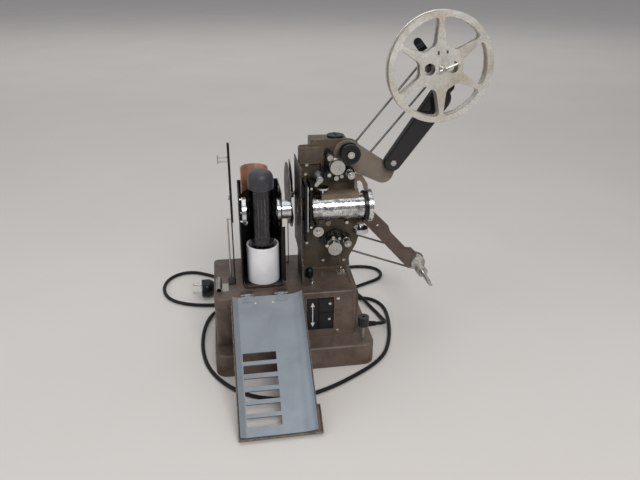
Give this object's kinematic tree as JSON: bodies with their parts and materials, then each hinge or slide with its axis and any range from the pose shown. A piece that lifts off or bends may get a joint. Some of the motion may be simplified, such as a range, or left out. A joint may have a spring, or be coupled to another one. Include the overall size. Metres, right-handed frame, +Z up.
{
  "type": "film projector",
  "caption": "Sixteen-millimetre film projector with hinged lamp-house door, folding supply arm, reel, take-up arm, lens, film path, shutter and motor in a cast base.",
  "frame": {"origin": "middle of the base's footprint, on the surface it stands on", "axes": "+X is the way the film is projected, -Y is the side the film is threaded from, +Z is up"},
  "size_m": [0.5987, 0.5615, 0.596],
  "materials": {
    "brown_paint": "hammered brown-grey enamel, worn at its edges",
    "dark_sheet": "dark heat-stained sheet steel",
    "black_sheet": "black stove enamel",
    "black_enamel": "glossy black enamel",
    "grey_paint": "satin blue-grey paint",
    "copper_sheet": "heat-tinted copper-coloured sheet",
    "grey_casting": "sand-cast aluminium",
    "turned_aluminium": "turned aluminium",
    "reel_metal": "pressed metal, slightly tarnished",
    "bright_steel": "bright steel",
    "spring_wire": "coiled spring wire",
    "chrome_plate": "worn chrome plate",
    "mirror_glass": "silvered glass",
    "lamp_glass": "smoked clear glass",
    "lens_glass": "clear glass",
    "porcelain": "white glaze",
    "black_plastic": "black moulded plastic",
    "black_rubber": "black rubber"
  },
  "bodies": {
    "projector": {"base_casting": "brown_paint", "bottom_cover": "dark_sheet", "connector_panel": "black_plastic", "case_screws": "bright_steel", "lamphouse_frame": "black_sheet", "lamp_socket": "porcelain", "projection_lamp": "lamp_glass", "rear_mirror": "mirror_glass", "optic_mounts": "chrome_plate", "condenser_lenses": "lens_glass", "rear_hood": "copper_sheet", "latch_strip": "black_sheet", "latch_rods": "bright_steel", "heat_screens": "dark_sheet", "base_hinge_leaves": "bright_steel", "head_plate": "brown_paint", "head_housing": "brown_paint", "head_covers": "brown_paint", "black_fittings": "black_plastic", "film_posts": "bright_steel", "film_gate": "black_sheet", "lens_saddle": "brown_paint", "drive_motor": "dark_sheet", "arm_bracket": "brown_paint", "supply_belt": "spring_wire", "takeup_arm": "brown_paint", "takeup_hub": "grey_casting", "takeup_belt": "spring_wire", "mains_cord": "black_rubber", "mains_plug": "black_plastic", "strain_relief": "black_rubber"},
    "lamp_door": {"door_cover": "brown_paint", "door_shield": "grey_paint", "door_fittings": "bright_steel"},
    "tilt_screw": {"tilt_screw": "black_plastic"},
    "supply_arm": {"supply_arm": "black_enamel"},
    "supply_reel": {"supply_spindle": "bright_steel", "supply_reel": "reel_metal"},
    "supply_pulley": {"supply_pulley": "bright_steel"},
    "takeup_spindle": {"takeup_spindle": "bright_steel"},
    "takeup_pulley": {"takeup_pulley": "bright_steel"},
    "motor_rotor": {"motor_rotor": "bright_steel"},
    "drive_shaft": {"drive_shaft": "bright_steel"},
    "upper_sprocket": {"upper_sprocket": "turned_aluminium"},
    "lower_sprocket": {"lower_sprocket": "turned_aluminium"},
    "shutter": {"shutter": "dark_sheet"},
    "feed_roller": {"feed_roller": "black_plastic"},
    "roller_upper_left": {"roller_upper_left": "black_plastic"},
    "roller_upper_right": {"roller_upper_right": "turned_aluminium"},
    "roller_lower_right": {"roller_lower_right": "turned_aluminium"},
    "lower_guide": {"lower_guide": "turned_aluminium"},
    "gate_knob": {"gate_knob": "turned_aluminium"},
    "pressure_plate": {"pressure_plate": "bright_steel"},
    "lens": {"lens_barrel": "chrome_plate", "lens_glass": "lens_glass"},
    "focus_knob": {"focus_knob": "chrome_plate"},
    "lens_clamp": {"lens_clamp": "chrome_plate"},
    "toggle": {"toggle": "chrome_plate"},
    "speed_knob": {"speed_knob": "black_plastic"},
    "lamp_button": {"lamp_button": "chrome_plate"}
  },
  "joints": [
    {"name": "lamp_door_hinge", "type": "hinge", "parent": "projector", "child": "lamp_door", "pos_m": [0, -0.062, 0.142], "axis": [-1, 0, 0], "range_deg": [0, 124]},
    {"name": "tilt_screw_turn", "type": "hinge", "parent": "projector", "child": "tilt_screw", "pos_m": [0.123, -0.074, 0.06], "axis": [0, 0, 1], "continuous": true},
    {"name": "supply_arm_fold", "type": "hinge", "parent": "projector", "child": "supply_arm", "pos_m": [0.1865, 0, 0.343], "axis": [0, -1, 0], "range_deg": [0, 55], "deforming": ["supply_belt"]},
    {"name": "supply_reel_spin", "type": "hinge", "parent": "supply_arm", "child": "supply_reel", "pos_m": [0.2512, 0, 0.507], "axis": [0, -1, 0], "continuous": true},
    {"name": "supply_pulley_spin", "type": "hinge", "parent": "projector", "child": "supply_pulley", "pos_m": [0.1174, 0, 0.3434], "axis": [0, -1, 0], "continuous": true},
    {"name": "takeup_spindle_spin", "type": "hinge", "parent": "projector", "child": "takeup_spindle", "pos_m": [0.262, 0, 0.115], "axis": [0, -1, 0], "continuous": true},
    {"name": "takeup_pulley_spin", "type": "hinge", "parent": "projector", "child": "takeup_pulley", "pos_m": [0.09, 0, 0.1806], "axis": [0, -1, 0], "continuous": true},
    {"name": "motor_spin", "type": "hinge", "parent": "projector", "child": "motor_rotor", "pos_m": [0, 0.02, 0.06], "axis": [1, 0, 0], "continuous": true},
    {"name": "drive_shaft_spin", "type": "hinge", "parent": "projector", "child": "drive_shaft", "pos_m": [0.061, 0.0535, 0.2], "axis": [0, 0, 1], "continuous": true},
    {"name": "upper_sprocket_spin", "type": "hinge", "parent": "projector", "child": "upper_sprocket", "pos_m": [0.0828, 0, 0.346], "axis": [0, -1, 0], "continuous": true},
    {"name": "lower_sprocket_spin", "type": "hinge", "parent": "projector", "child": "lower_sprocket", "pos_m": [0.0816, 0, 0.1932], "axis": [0, -1, 0], "continuous": true},
    {"name": "shutter_spin", "type": "hinge", "parent": "projector", "child": "shutter", "pos_m": [0, 0.057, 0.281], "axis": [1, 0, 0], "continuous": true},
    {"name": "feed_roller_spin", "type": "hinge", "parent": "projector", "child": "feed_roller", "pos_m": [0.1054, 0, 0.3674], "axis": [0, -1, 0], "continuous": true},
    {"name": "roller_upper_left_spin", "type": "hinge", "parent": "projector", "child": "roller_upper_left", "pos_m": [0.0687, 0, 0.333], "axis": [0, -1, 0], "continuous": true},
    {"name": "roller_upper_right_spin", "type": "hinge", "parent": "projector", "child": "roller_upper_right", "pos_m": [0.1077, 0, 0.3296], "axis": [0, -1, 0], "continuous": true},
    {"name": "roller_lower_right_spin", "type": "hinge", "parent": "projector", "child": "roller_lower_right", "pos_m": [0.1057, 0, 0.1998], "axis": [0, -1, 0], "continuous": true},
    {"name": "lower_guide_spin", "type": "hinge", "parent": "projector", "child": "lower_guide", "pos_m": [0.0502, 0, 0.2299], "axis": [0, -1, 0], "continuous": true},
    {"name": "gate_knob_turn", "type": "hinge", "parent": "projector", "child": "gate_knob", "pos_m": [0.0524, 0, 0.325], "axis": [0, -1, 0], "range_deg": [0, 90]},
    {"name": "pressure_plate_lift", "type": "slide", "parent": "projector", "child": "pressure_plate", "axis": [1, 0, 0], "range_m": [0, 0.0018]},
    {"name": "lens_focus", "type": "slide", "parent": "projector", "child": "lens", "axis": [1, 0, 0], "range_m": [0, 0.008]},
    {"name": "focus_knob_turn", "type": "hinge", "parent": "projector", "child": "focus_knob", "pos_m": [0.1296, 0.005, 0.23], "axis": [0, 0, 1], "range_deg": [0, 300]},
    {"name": "lens_clamp_turn", "type": "hinge", "parent": "projector", "child": "lens_clamp", "pos_m": [0.0585, -0.001, 0.3], "axis": [0, 0, 1], "range_deg": [0, 180]},
    {"name": "toggle_tip", "type": "hinge", "parent": "projector", "child": "toggle", "pos_m": [0.096, 0.009, 0.1365], "axis": [0, 1, 0], "range_deg": [-15, 15]},
    {"name": "speed_knob_turn", "type": "hinge", "parent": "projector", "child": "speed_knob", "pos_m": [0.035, -0.004, 0.145], "axis": [0, 0, 1], "range_deg": [0, 270]},
    {"name": "lamp_button_press", "type": "slide", "parent": "projector", "child": "lamp_button", "axis": [0, 0, -1], "range_m": [0, 0.002], "stiffness_N_per_m": 200}
  ],
  "couplings": [
    {"joint": "drive_shaft_spin", "follows": "motor_spin", "ratio": 1},
    {"joint": "upper_sprocket_spin", "follows": "motor_spin", "ratio": 0.038462},
    {"joint": "lower_sprocket_spin", "follows": "motor_spin", "ratio": 0.038462},
    {"joint": "shutter_spin", "follows": "motor_spin", "ratio": 0.46154},
    {"joint": "takeup_pulley_spin", "follows": "motor_spin", "ratio": 0.038462},
    {"joint": "takeup_spindle_spin", "follows": "motor_spin", "ratio": 0.037356},
    {"joint": "supply_pulley_spin", "follows": "supply_reel_spin", "ratio": 1.0296},
    {"joint": "gate_knob_turn", "follows": "pressure_plate_lift", "rad_per_m": 870},
    {"joint": "focus_knob_turn", "follows": "lens_focus", "rad_per_m": 628.3}
  ]
}
